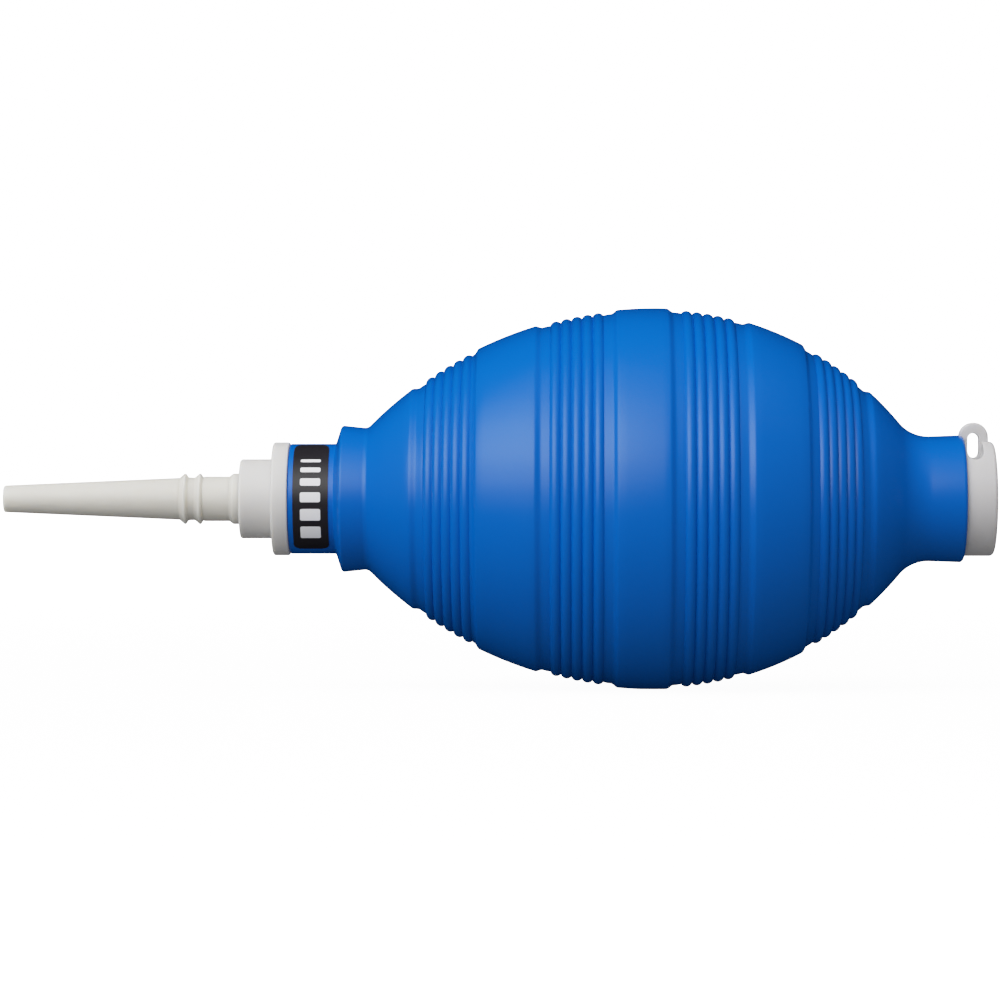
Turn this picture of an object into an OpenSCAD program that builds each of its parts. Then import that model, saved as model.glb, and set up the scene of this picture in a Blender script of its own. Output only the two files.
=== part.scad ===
// Hand air blower for dusting watch parts. All sizes are in millimetres.
// The tool lies on its belly on the floor plane, with its axis along X and the nozzle towards -X.
// The origin is under the middle of the whole length, where the lowest point of the belly rests.

/* [Bulb] */
// Largest diameter of the bulb, at its crown
bulb_d = 70; // [58:1:84]
// Thickness of the rubber wall
bulb_wall = 2.2; // [1.8:0.1:2.6]
// Length from the collar's back to the crown
belly_front_l = 52.6; // [43.8:0.1:63]
// Length from the crown to the end of the fillet at the rear neck
belly_rear_l = 50.4; // [42:0.1:60]
// Radius of the fillet between the belly and the rear neck
rear_fillet_r = 7; // [5:0.5:9]

/* [Necks of the bulb] */
// Outer diameter of the front neck
front_neck_d = 20.1; // [16.7:0.1:24.1]
// Length of the front neck
front_neck_l = 8.5; // [7.5:0.05:10.2]
// How far the collar behind the front neck stands out from it
collar_step = 3.4; // [2.8:0.1:4.1]
// How far the collar's surface falls from its front to its back
collar_fall = 0.5; // [0.2:0.1:1]
// Length of the collar
collar_l = 5.8; // [4.8:0.05:7]
// Length of the slope at the front of the collar
collar_slope_l = 1.1; // [0.4:0.1:1.5]
// Outer diameter of the rear neck
rear_neck_d = 22.8; // [19:0.1:27.4]
// How far the rear neck's rim stands out from the neck
rim_flare = 0.2; // [0:0.05:0.4]
// Length of the rear neck, from the fillet to the rim
rear_neck_l = 6.3; // [5:0.1:8]

/* [Ribs of the bulb] */
// Ribs in each group
rib_count = 5; // [3:1:6]
// Width of one rib, along the surface
rib_pitch = 2; // [1.6:0.01:2.4]
// Height of a rib above the valley beside it
rib_h = 0.56; // [0.3:0.02:0.7]
// Depth of the valleys under the smooth surface
valley_depth = 0.74; // [0.6:0.02:0.9]
// Width of the flat land on each side of a group
land_w = 1.45; // [1:0.05:2]
// Depth of the flat lands under the smooth surface
land_depth = 0.65; // [0.5:0.05:0.8]
// Width of the soft step from a land up to the smooth surface
step_w = 1.35; // [1:0.05:1.6]
// Distance from the crown to the middle of the group in front of it, along the surface
front_group_s = 14.4; // [12:0.1:17]
// Distance from the collar to the middle of the foremost group, along the surface
foremost_group_s = 18.6; // [15.5:0.1:22]
// Distance from the crown to the middle of the group behind it, along the surface
rear_group_s = 10.1; // [9.2:0.1:12]
// Distance from the rear fillet to the middle of the rearmost group, along the surface
rearmost_group_s = 15.4; // [13:0.1:18]

/* [Squeezed sides] */
// Length of the part of each side wall that gives under a finger
grip_l = 62; // [50:1:70]
// Height of that part of the wall
grip_w = 36; // [28:1:42]
// How far the middle of that part lies in front of the crown
grip_shift = 1.5; // [0:0.5:3]
// Gap between the side wall and the wall around it
grip_gap = 0.3; // [0.2:0.05:0.5]

/* [Nozzle] */
// Length of the nozzle in front of its holder
nozzle_l = 43.7; // [36:0.1:53]
// Outer diameter of the nozzle at its tip
tip_d = 4.9; // [4.2:0.1:6]
// Diameter of the air outlet in the tip
outlet_d = 2.2; // [1.8:0.1:2.6]
// Length of the straight outlet bore
outlet_l = 8; // [6:0.5:10]
// Outer diameter of the stub behind the taper
stub_d = 8.2; // [7:0.1:9.8]
// How far the end of the taper lies below the stub's surface
taper_step = 0.25; // [0:0.05:0.4]
// Length of the stub, ribs and collar together
stub_l = 11.3; // [9.5:0.1:13.5]
// Height of the two small ribs on the stub
nozzle_rib_h = 0.55; // [0.4:0.05:0.7]
// Length of each small rib
nozzle_rib_l = 1.5; // [1.2:0.1:1.8]
// Share of a small rib's length that lies in front of its top
nozzle_rib_lead = 0.6; // [0.5:0.05:0.7]
// Distance from one small rib to the other
nozzle_rib_pitch = 2.75; // [2.2:0.05:3.3]
// How far the collar that meets the holder stands out from the stub
nozzle_collar_step = 0.55; // [0.45:0.05:0.7]
// Length of that collar
nozzle_collar_l = 2; // [1.6:0.1:2.4]
// Length of the slope at its front
nozzle_collar_slope_l = 0.7; // [0.4:0.1:1]
// Diameter of the push-in end of the nozzle
push_d = 7.5; // [6.3:0.1:9]
// Length of the push-in end
push_l = 12; // [10:0.5:14]
// Diameter of the air way where it is widest
airway_d = 5; // [4.2:0.1:5.6]

/* [Nozzle holder] */
// Diameter of the boss around the nozzle
boss_d = 14.55; // [13:0.1:17.5]
// Length of the boss
boss_l = 6.05; // [5:0.05:7.3]
// How far the flange stands out over the front neck
flange_lip = 0.35; // [0:0.05:0.6]
// Thickness of the flange
flange_t = 3.05; // [2.5:0.05:3.7]
// Length of the spigot inside the front neck
holder_spigot_l = 14; // [13:0.5:16]

/* [Rear plug] */
// How far the plug stands out over the rear neck's bore
plug_lip = 1.3; // [1:0.1:1.9]
// Thickness of the end wall with the air inlets
end_wall_t = 1.8; // [1.4:0.1:2.2]
// Number of air inlets
inlet_count = 6; // [4:1:8]
// Diameter of each air inlet
inlet_d = 1.8; // [1.4:0.1:2.2]
// Width of wall between the air inlets and the edge of the chamber behind them
inlet_margin = 0.6; // [0.4:0.1:0.8]
// Length of the spigot inside the rear neck
plug_spigot_l = 12; // [11:0.5:15]

/* [Lanyard tab] */
// How far the tab's top stands above the plug
tab_rise = 3.5; // [2.9:0.1:4.2]
// Width of the tab along the axis
tab_w = 5.4; // [4.5:0.1:6.5]
// How far the tab reaches over the rubber rim
tab_lap = 0.8; // [0.6:0.05:1]
// Distance from the tab's back to the plug's end
tab_inset = 1; // [0.8:0.1:1.3]
// Thickness of the tab
tab_t = 2; // [1.6:0.1:2.4]
// Width of the slot for a cord
slot_w = 2.1; // [1.7:0.1:2.4]
// Length of the slot for a cord
slot_l = 4.5; // [3.8:0.1:5]
// Width of tab left above the slot
slot_rim = 1.95; // [1.6:0.05:2.4]
// How much wider the pocket in the plug is than the slot, on each side
pocket_margin = 0.45; // [0.3:0.05:0.5]

/* [Valves] */
// Wall of both spigots around their valves
spigot_wall = 2.2; // [1.8:0.1:2.4]
// Thickness of each valve disc
disc_t = 0.8; // [0.6:0.1:1]
// Distance that each disc lifts off its seat
valve_lift = 1.2; // [1:0.1:1.4]
// Gap around each disc for the air
disc_gap = 0.7; // [0.5:0.1:0.9]
// How far each disc overlaps its seat
seat_overlap = 1.6; // [1.3:0.1:1.9]
// How far inside the rear neck's rim the intake valve's seat lies
intake_seat_depth = 1; // [0.8:0.1:1.2]
// Length of the ring that is pressed in behind each disc
ring_l = 3; // [2.4:0.1:3.6]
// Width of the ribs and spokes that stop a disc
stop_w = 1.2; // [1:0.1:1.4]
// How far the outlet disc's stop ribs stand back from the air way
stop_inset = 0.3; // [0.2:0.1:0.5]

/* [Label] */
// Length of the label along the axis
label_l = 6.45; // [5.4:0.05:7.6]
// Thickness of the label
label_t = 0.15; // [0.1:0.01:0.2]
// Angle from the front of the neck up to the label's top edge
label_up = 77; // [65:1:90]
// Angle from the front of the neck down to the label's bottom edge
label_down = 64; // [55:1:75]

/* [Fits] */
// Clearance of the push-in end in its socket, on the radius
push_fit = 0.05; // [0.02:0.01:0.1]
// Clearance between a spigot and the neck around it
neck_fit = 0.03; // [0.01:0.01:0.05]
// Height of the ridge that holds each spigot in its neck
ridge_h = 0.6; // [0.4:0.05:0.8]
// Length of that ridge
ridge_l = 2; // [1.6:0.1:2.4]

/* [Hidden] */
$fn = 96;
edge_r = 0.35; // the small radius on moulded edges
arc_steps = 5; // straight steps in a quarter of a small round edge
step_steps = 3; // straight steps over the soft step beside a land
rib_steps = 4; // straight steps over one rib
small_rib_steps = 3; // straight steps up or down one small rib of the nozzle
arc_l = 3; // length of one straight step along the belly
slot_shift = 0.05; // how far the slot lies in front of the tab's middle
touch = 0.02; // gap that keeps a valve disc just clear of its seat and stop
over = 1; // how far a cut runs past the face that it opens

bulb_r = bulb_d / 2;
front_neck_r = front_neck_d / 2;
rear_neck_r = rear_neck_d / 2;
collar_r = front_neck_r + collar_step;
shoulder_r = collar_r - collar_fall;
rear_rim_r = rear_neck_r + rim_flare;
plug_l = tab_w - tab_lap + tab_inset;

// Places along the axis, from the nozzle's tip to the plug's end
overall_l = nozzle_l + boss_l + flange_t + front_neck_l + collar_l + belly_front_l + belly_rear_l
    + rear_neck_l + plug_l;
tip_x = -overall_l / 2;
boss_x = tip_x + nozzle_l;
flange_x = boss_x + boss_l;
neck_x = flange_x + flange_t;
collar_x = neck_x + front_neck_l;
shoulder_x = collar_x + collar_l;
crown_x = shoulder_x + belly_front_l;
fillet_x = crown_x + belly_rear_l;
rim_x = fillet_x + rear_neck_l;
end_x = rim_x + plug_l;

// The belly's outline is one arc in front of the crown and one behind it, level with each other at the crown
front_drop = bulb_r - shoulder_r;
front_arc_r = (pow(belly_front_l, 2) + pow(front_drop, 2)) / (2 * front_drop);
front_arc_a = asin(belly_front_l / front_arc_r);
fillet_rise = rear_neck_r + rear_fillet_r - bulb_r;
rear_arc_r = (pow(belly_rear_l, 2) + pow(fillet_rise, 2) - pow(rear_fillet_r, 2))
    / (2 * (rear_fillet_r - fillet_rise));
rear_arc_a = asin(belly_rear_l / (rear_arc_r + rear_fillet_r));

// Inner sizes of the necks and what fits in them
front_bore_r = front_neck_r - bulb_wall;
rear_bore_r = rear_neck_r - bulb_wall;
holder_spigot_r = front_bore_r - neck_fit;
plug_spigot_r = rear_bore_r - neck_fit;
flange_r = front_neck_r + flange_lip;
plug_r = rear_bore_r + plug_lip;
tab_h = plug_r + tab_rise;
holder_end_x = neck_x + holder_spigot_l;
plug_start_x = rim_x - plug_spigot_l;
socket_end_x = boss_x + push_l + push_fit;

// The outlet valve sits in the holder's spigot, with its seat on the bulb's side
outlet_bore_r = holder_spigot_r - spigot_wall;
outlet_disc_r = outlet_bore_r - disc_gap;
outlet_seat_x = holder_end_x - ring_l;
outlet_disc_x = outlet_seat_x - touch - disc_t;
outlet_stop_x = outlet_disc_x - valve_lift - touch;
outlet_web_x = socket_end_x + stop_w;

// The intake valve sits in the plug's spigot, with its seat on the outside
intake_bore_r = plug_spigot_r - spigot_wall;
intake_disc_r = intake_bore_r - disc_gap;
tab_x = rim_x - tab_lap + tab_w / 2;
slot_x = tab_x - slot_shift;
slot_top = tab_h - slot_rim - slot_w / 2;
slot_low = slot_top - slot_l + slot_w;
pocket_r = slot_w / 2 + pocket_margin;
plenum_r = slot_low - pocket_r - spigot_wall / 2;
inlet_circle_r = plenum_r - inlet_d / 2 - inlet_margin;
intake_seat_x = rim_x - intake_seat_depth;
intake_disc_x = intake_seat_x - touch - disc_t;
intake_stop_x = intake_disc_x - valve_lift - touch;

grip_x = crown_x - grip_shift;
label_x = (neck_x + collar_x) / 2;

// Turns a shape that was revolved about Z so that its axis is the tool's axis
module along_axis() {
    translate([0, 0, bulb_r]) rotate([0, 90, 0]) children();
}

// A solid of revolution about the tool's axis, from [radius, place along the axis] points
module turned(points) {
    along_axis() rotate_extrude() polygon(points);
}

// A plain cylinder on the tool's axis, from one place to another
module rod(r, from_x, to_x) {
    along_axis() translate([0, 0, from_x]) cylinder(r = r, h = to_x - from_x);
}

// Points of a round corner about a centre, from one angle to another. The angle counts from the axis outwards
function corner(r, x, size, from_a, to_a) =
    [for (i = [0 : arc_steps]) let (a = from_a + (to_a - from_a) * i / arc_steps)
        [r + size * sin(a), x + size * cos(a)]];

// A point of the belly in front of the crown, s along the surface from the crown and sunk by a depth
function front_point(s, depth) =
    let (a = s / front_arc_r * 180 / PI)
    [bulb_r - front_arc_r + (front_arc_r - depth) * cos(a), crown_x - (front_arc_r - depth) * sin(a)];

// The same behind the crown
function rear_point(s, depth) =
    let (a = s / rear_arc_r * 180 / PI)
    [bulb_r - rear_arc_r + (rear_arc_r - depth) * cos(a), crown_x + (rear_arc_r - depth) * sin(a)];

// Half of a group's width: its ribs and one land, without the step
group_half = rib_count * rib_pitch / 2 + land_w;

// [distance, depth] pairs of a soft step down to the land that starts at land_s.
// towards is 1 where the land lies further from the crown than its step, and -1 where it lies nearer
function step_course(land_s, towards) =
    [for (i = [0 : step_steps]) let (u = towards > 0 ? i / step_steps : 1 - i / step_steps)
        [land_s - towards * step_w * (1 - u), land_depth * u * u * (3 - 2 * u)]];

// [distance, depth] pairs across one rib group, with its middle at s
function group_course(s) = concat(
    step_course(s - group_half, 1),
    [[s - group_half + land_w, land_depth]],
    [for (rib = [0 : rib_count - 1], i = [0 : rib_steps])
        if (i > 0 || rib == 0) [
            s + (rib - rib_count / 2 + i / rib_steps) * rib_pitch,
            valley_depth - rib_h * sin(180 * i / rib_steps)
        ]],
    [[s + group_half - land_w, land_depth]],
    step_course(s + group_half, -1)
);

// [distance, 0] pairs along a smooth stretch, ends left out
function smooth_course(from_s, to_s) =
    let (n = ceil((to_s - from_s) / arc_l))
    [for (i = [1 : 1 : n - 1]) [from_s + (to_s - from_s) * i / n, 0]];

// The course over a belly half: smooth, first group, smooth, second group, smooth
function half_course(near_s, far_s, end_s) =
    let (half = group_half + step_w)
    concat(
        smooth_course(0, near_s - half), group_course(near_s),
        smooth_course(near_s + half, far_s - half), group_course(far_s),
        smooth_course(far_s + half, end_s)
    );

function backwards(list) = [for (i = [len(list) - 1 : -1 : 0]) list[i]];

front_end_s = front_arc_r * front_arc_a * PI / 180;
rear_end_s = rear_arc_r * rear_arc_a * PI / 180;

// The outside of the bulb, from the front neck's rim to the rear neck's rim
function bulb_outside() = concat(
    [
        [front_neck_r, neck_x],
        [front_neck_r, collar_x],
        [collar_r, collar_x + collar_slope_l]
    ],
    [front_point(front_end_s, 0)],
    backwards([
        for (p = half_course(front_group_s, front_end_s - foremost_group_s, front_end_s))
            front_point(p[0], p[1])
    ]),
    [front_point(0, 0)],
    [for (p = half_course(rear_group_s, rear_end_s - rearmost_group_s, rear_end_s)) rear_point(p[0], p[1])],
    [for (i = [0 : 2 * arc_steps]) let (a = rear_arc_a * (1 - i / (2 * arc_steps)))
        [rear_neck_r + rear_fillet_r * (1 - cos(a)), fillet_x - rear_fillet_r * sin(a)]],
    corner(rear_rim_r - edge_r, rim_x - edge_r, edge_r, 90, 0)
);

// The inside of the bulb, from the rear to the front
inner_arc_r = front_arc_r - bulb_wall;
inside_front_x = crown_x - sqrt(pow(inner_arc_r, 2) - pow(front_bore_r - bulb_r + front_arc_r, 2));
inside_front_s = front_arc_r * asin((crown_x - inside_front_x) / inner_arc_r) * PI / 180;

function bulb_inside() = concat(
    [[rear_bore_r, rim_x]],
    [for (i = [0 : arc_steps]) let (a = rear_arc_a * i / arc_steps)
        [rear_bore_r + (rear_fillet_r + bulb_wall) * (1 - cos(a)),
            fillet_x - (rear_fillet_r + bulb_wall) * sin(a)]],
    backwards([for (p = smooth_course(0, rear_end_s)) rear_point(p[0], bulb_wall)]),
    [front_point(0, bulb_wall)],
    [for (p = smooth_course(0, inside_front_s)) front_point(p[0], bulb_wall)],
    [[front_bore_r, inside_front_x], [front_bore_r, neck_x]]
);

// A ridge around a spigot that points to the end which goes in first, or the groove that takes it
module ridge(r, x, towards, clearance) {
    turned([
        [r - over, x - ridge_l / 2 - clearance], [r, x - ridge_l / 2 - clearance],
        [r + ridge_h + clearance, x - towards * ridge_l / 4], [r, x + ridge_l / 2 + clearance],
        [r - over, x + ridge_l / 2 + clearance]
    ]);
}

front_ridge_x = neck_x + front_neck_l - ridge_l;
rear_ridge_x = rim_x - rear_neck_l + ridge_l / 2;

// The whole rubber wall, side walls included
module bulb_shell() {
    difference() {
        turned(concat(bulb_outside(), bulb_inside()));
        ridge(front_bore_r, front_ridge_x, 1, neck_fit);
        ridge(rear_bore_r, rear_ridge_x, -1, neck_fit);
    }
}

// The straight-sided column, across the tool, that marks off a side wall. side is -1 near and 1 far
module grip_column(side, grow) {
    w = grip_w / 2 + grow;
    reach = grip_l / 2 - grip_w / 2;
    translate([grip_x, 0, bulb_r]) rotate([-90 * side, 0, 0]) {
        for (end = [-1, 1]) translate([end * reach, 0, 0]) cylinder(r = w, h = bulb_r + over);
        translate([-reach, -w, 0]) cube([2 * reach, 2 * w, bulb_r + over]);
    }
}

// The rubber bulb: necks, collar, ribbed belly, with room for the two side walls
module bulb() {
    color("royalblue") difference() {
        bulb_shell();
        grip_column(-1, grip_gap);
        grip_column(1, grip_gap);
    }
}

module side_wall(side) {
    color("dodgerblue") intersection() {
        bulb_shell();
        grip_column(side, 0);
    }
}

// The side of the bulb that the thumb presses
module near_side_wall() {
    side_wall(-1);
}

// The side of the bulb that the fingers press
module far_side_wall() {
    side_wall(1);
}

// Points of one small rib of the nozzle, with its top at x: a long slope in front and a steeper one behind
function small_rib(x, foot_r, top_r) =
    [for (i = [-small_rib_steps : small_rib_steps])
        let (u = i / small_rib_steps, reach = nozzle_rib_l * (u < 0 ? nozzle_rib_lead : 1 - nozzle_rib_lead))
        [foot_r + (top_r - foot_r) * (1 + cos(180 * u)) / 2, x + reach * u]];

// The nozzle: taper, two small ribs, collar and push-in end, with a bore that widens backwards
module nozzle() {
    stub_x = boss_x - stub_l;
    step_x = boss_x - nozzle_collar_l;
    stub_r = stub_d / 2;
    foot_r = stub_r - taper_step;
    rib_r = stub_r + nozzle_rib_h;
    step_r = stub_r + nozzle_collar_step;
    push_r = push_d / 2;
    rib_1 = stub_x + nozzle_rib_l * nozzle_rib_lead;
    rib_2 = rib_1 + nozzle_rib_pitch;
    push_end_x = boss_x + push_l;
    color("gainsboro") turned(concat(
        [[outlet_d / 2, tip_x]],
        corner(tip_d / 2 - edge_r, tip_x + edge_r, edge_r, 180, 90),
        small_rib(rib_1, foot_r, rib_r),
        small_rib(rib_2, foot_r, rib_r),
        [[stub_r, rib_2 + nozzle_rib_l / 2], [stub_r, step_x]],
        [[step_r, step_x + nozzle_collar_slope_l], [step_r, boss_x]],
        [[push_r, boss_x], [push_r, push_end_x - edge_r], [push_r - edge_r, push_end_x]],
        [[airway_d / 2, push_end_x], [airway_d / 2, boss_x], [outlet_d / 2, tip_x + outlet_l]]
    ));
}

// The nozzle holder: boss and flange outside, spigot inside the front neck, socket and valve chamber within
module nozzle_holder() {
    boss_r = boss_d / 2;
    socket_r = push_d / 2 + push_fit;
    color("lightgray") difference() {
        union() {
            turned(concat(
                [[0, boss_x]],
                corner(boss_r - edge_r, boss_x + edge_r, edge_r, 180, 90),
                [[boss_r, flange_x]],
                corner(flange_r - edge_r, flange_x + edge_r, edge_r, 180, 90),
                corner(flange_r - edge_r, neck_x - edge_r, edge_r, 90, 0),
                [[holder_spigot_r, neck_x], [holder_spigot_r, holder_end_x], [0, holder_end_x]]
            ));
            ridge(holder_spigot_r, front_ridge_x, 1, 0);
        }
        rod(socket_r, boss_x - over, socket_end_x);
        rod(airway_d / 2, socket_end_x - over, outlet_web_x + over);
        difference() {
            rod(outlet_bore_r, outlet_web_x, holder_end_x + over);
            for (turn = [0 : 90 : 270]) translate([outlet_web_x - over, 0, bulb_r]) rotate([turn + 45, 0, 0])
                translate([0, airway_d / 2 + stop_inset, -stop_w / 2])
                    cube([outlet_stop_x - outlet_web_x + over, outlet_bore_r, stop_w]);
        }
    }
}

// A valve disc, face to face with its seat
module valve_disc(r, x) {
    color("dimgray") rod(r, x, x + disc_t);
}

module outlet_valve_disc() {
    valve_disc(outlet_disc_r, outlet_disc_x);
}

module intake_valve_disc() {
    valve_disc(intake_disc_r, intake_disc_x);
}

// The ring that the outlet disc closes on, pressed into the holder from the bulb's side
module outlet_valve_seat() {
    color("whitesmoke") difference() {
        rod(outlet_bore_r, outlet_seat_x, holder_end_x);
        rod(outlet_disc_r - seat_overlap, outlet_seat_x - over, holder_end_x + over);
    }
}

// The tab for a cord: an upright plate with a round top
module lanyard_plate() {
    top_r = tab_w / 2;
    translate([0, tab_t / 2, bulb_r]) rotate([90, 0, 0]) linear_extrude(tab_t) {
        translate([tab_x, tab_h - top_r]) circle(r = top_r);
        translate([tab_x - top_r, plug_spigot_r]) square([tab_w, tab_h - top_r - plug_spigot_r]);
    }
}

// An upright obround column across the tool, for the slot and its pockets
module slot_column(r, top, from_y, to_y) {
    translate([slot_x, to_y, bulb_r]) rotate([90, 0, 0]) linear_extrude(to_y - from_y) {
        translate([0, slot_low]) circle(r = r);
        translate([0, top]) circle(r = r);
        translate([-r, slot_low]) square([2 * r, top - slot_low]);
    }
}

// The rear plug: the grey end piece with air inlets and the lanyard tab, and the intake valve's seat
module rear_plug() {
    pocket_y = tab_t / 2;
    color("lightgray") difference() {
        union() {
            difference() {
                union() {
                    turned(concat(
                        [[0, plug_start_x], [plug_spigot_r, plug_start_x], [plug_spigot_r, rim_x]],
                        [[plug_r, rim_x]],
                        corner(plug_r - edge_r, end_x - edge_r, edge_r, 90, 0),
                        [[0, end_x]]
                    ));
                    ridge(plug_spigot_r, rear_ridge_x, -1, 0);
                }
                slot_column(pocket_r, plug_r, pocket_y, plug_r);
                slot_column(pocket_r, plug_r, -plug_r, -pocket_y);
            }
            difference() {
                lanyard_plate();
                rod(rear_rim_r + neck_fit, rim_x - 2 * over, rim_x);
            }
        }
        slot_column(slot_w / 2, slot_top, -plug_r, plug_r);
        rod(plenum_r, intake_seat_x + stop_w, end_x - end_wall_t);
        rod(intake_disc_r - seat_overlap, intake_seat_x - over, intake_seat_x + stop_w + over);
        rod(intake_bore_r, plug_start_x - over, intake_seat_x);
        for (i = [0 : inlet_count - 1]) along_axis() rotate(360 * (i + 0.5) / inlet_count)
            translate([inlet_circle_r, 0, end_x - end_wall_t - over])
                cylinder(d = inlet_d, h = end_wall_t + 2 * over);
    }
}

// The cage that keeps the intake disc in the plug: a ring with four spokes
module intake_valve_cage() {
    cage_x = intake_stop_x - ring_l;
    hole_r = intake_bore_r - stop_w;
    color("whitesmoke") difference() {
        rod(intake_bore_r, cage_x, intake_stop_x);
        difference() {
            rod(hole_r, cage_x - over, intake_stop_x + over);
            for (turn = [0, 90]) translate([cage_x, 0, bulb_r]) rotate([turn, 0, 0])
                translate([0, -intake_bore_r, -stop_w / 2]) cube([ring_l, 2 * intake_bore_r, stop_w]);
        }
    }
}

// The sticker around the near side of the front neck
module label() {
    color("black") along_axis() translate([0, 0, label_x - label_l / 2])
        rotate(-90 - label_down) rotate_extrude(angle = label_up + label_down)
            translate([front_neck_r, 0]) square([label_t, label_l]);
}

bulb();
near_side_wall();
far_side_wall();
nozzle();
nozzle_holder();
outlet_valve_disc();
outlet_valve_seat();
rear_plug();
intake_valve_disc();
intake_valve_cage();
label();
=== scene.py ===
"""The looks of the dust blower bulb: rubber skin, grey plastic parts, sticker, floor and light."""
import math

import bmesh
import bpy
from mathutils import Matrix, Vector


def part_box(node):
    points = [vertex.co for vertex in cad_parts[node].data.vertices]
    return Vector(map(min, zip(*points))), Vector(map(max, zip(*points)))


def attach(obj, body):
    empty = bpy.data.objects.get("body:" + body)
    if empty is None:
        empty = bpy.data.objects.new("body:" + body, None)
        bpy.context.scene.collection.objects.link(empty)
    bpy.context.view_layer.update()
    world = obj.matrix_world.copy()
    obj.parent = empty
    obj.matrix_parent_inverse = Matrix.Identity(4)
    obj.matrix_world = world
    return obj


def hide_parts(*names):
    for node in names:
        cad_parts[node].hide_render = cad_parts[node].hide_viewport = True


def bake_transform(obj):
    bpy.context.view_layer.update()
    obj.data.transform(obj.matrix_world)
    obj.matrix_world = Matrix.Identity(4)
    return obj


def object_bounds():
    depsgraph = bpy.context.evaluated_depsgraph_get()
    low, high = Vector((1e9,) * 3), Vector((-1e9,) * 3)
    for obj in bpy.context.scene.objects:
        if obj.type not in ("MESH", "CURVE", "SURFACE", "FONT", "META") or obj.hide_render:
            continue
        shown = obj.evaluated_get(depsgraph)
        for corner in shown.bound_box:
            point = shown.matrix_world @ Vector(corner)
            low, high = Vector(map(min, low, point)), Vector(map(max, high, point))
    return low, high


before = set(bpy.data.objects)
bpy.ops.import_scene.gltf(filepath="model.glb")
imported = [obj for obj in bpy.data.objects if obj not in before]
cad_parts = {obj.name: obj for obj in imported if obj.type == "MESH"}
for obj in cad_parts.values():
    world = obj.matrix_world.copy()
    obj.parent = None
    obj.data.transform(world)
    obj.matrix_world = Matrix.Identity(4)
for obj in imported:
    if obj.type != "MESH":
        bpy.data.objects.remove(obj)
cad_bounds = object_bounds()

MM = 0.001

# ---------------------------------------------------------------- places, from the frame
bulb_low, bulb_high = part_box("bulb")
nozzle_low, nozzle_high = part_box("nozzle")
holder_low, holder_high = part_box("nozzle_holder")
plug_low, plug_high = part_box("rear_plug")
label_low, label_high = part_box("label")

BULB_R = (bulb_high.z - bulb_low.z) / 2
AXIS_Z = bulb_low.z + BULB_R
TIP_X = nozzle_low.x
BOSS_X = holder_low.x
NECK_X = bulb_low.x
RIM_X = bulb_high.x
END_X = plug_high.x
FLANGE_R = (holder_high.z - holder_low.z) / 2

# ---------------------------------------------------------------- sizes of the rubber bulb
WALL = 2.2 * MM
NECK_R = 10.05 * MM
NECK_L = 8.5 * MM
COLLAR_SLOPE_L = 1.1 * MM
COLLAR_R = 13.45 * MM
COLLAR_L = 5.8 * MM
SHOULDER_R = 12.95 * MM
BELLY_FRONT_L = 52.6 * MM
BELLY_REAR_L = 50.4 * MM
REAR_NECK_R = 11.4 * MM
REAR_RIM_R = 11.6 * MM
REAR_FILLET_R = 7 * MM
RIM_ROUND = 0.6 * MM
SHOULDER_ROUND = 1.4 * MM
SHOULDER_ROUND_REACH = 1.1 * MM

RIBS = 5
RIB_PITCH = 2 * MM
RIB_H = 0.56 * MM
VALLEY_DEPTH = 0.74 * MM
LAND_W = 1.45 * MM
LAND_DEPTH = 0.65 * MM
STEP_W = 1.35 * MM
FRONT_GROUP_S = 14.4 * MM
FOREMOST_GROUP_S = 18.6 * MM
REAR_GROUP_S = 10.1 * MM
REARMOST_GROUP_S = 15.4 * MM
# The foremost group has a narrower land on the crown's side than the others
FOREMOST_INNER_LAND_W = 0.4 * MM
# The mould's seam, as half of its width and how far it stands proud
SEAM_W = 0.12 * MM
SEAM_H = 0.06 * MM
# How far below the belly's outline and the front neck's a point still counts as outside
BELLY_BAND = 1.2 * MM
NECK_BAND = 0.2 * MM

COLLAR_X = NECK_X + NECK_L
SHOULDER_X = COLLAR_X + COLLAR_L
CROWN_X = SHOULDER_X + BELLY_FRONT_L
FILLET_X = CROWN_X + BELLY_REAR_L

# The belly's outline is one arc in front of the crown and one behind it
front_drop = BULB_R - SHOULDER_R
FRONT_ARC_R = (BELLY_FRONT_L**2 + front_drop**2) / (2 * front_drop)
FRONT_END_S = FRONT_ARC_R * math.asin(BELLY_FRONT_L / FRONT_ARC_R)
fillet_rise = REAR_NECK_R + REAR_FILLET_R - BULB_R
REAR_ARC_R = ((BELLY_REAR_L**2 + fillet_rise**2 - REAR_FILLET_R**2)
              / (2 * (REAR_FILLET_R - fillet_rise)))
REAR_ARC_A = math.asin(BELLY_REAR_L / (REAR_ARC_R + REAR_FILLET_R))
REAR_END_S = REAR_ARC_R * REAR_ARC_A

# ---------------------------------------------------------------- outlines, as (along the axis, radius)


def arc(x, r, size, from_a, to_a, steps):
    """Points of an arc about (x, r). The angle counts from the outward direction towards +X."""
    angles = [from_a + (to_a - from_a) * i / steps for i in range(steps + 1)]
    return [(x + size * math.sin(a), r + size * math.cos(a)) for a in angles]


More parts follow.
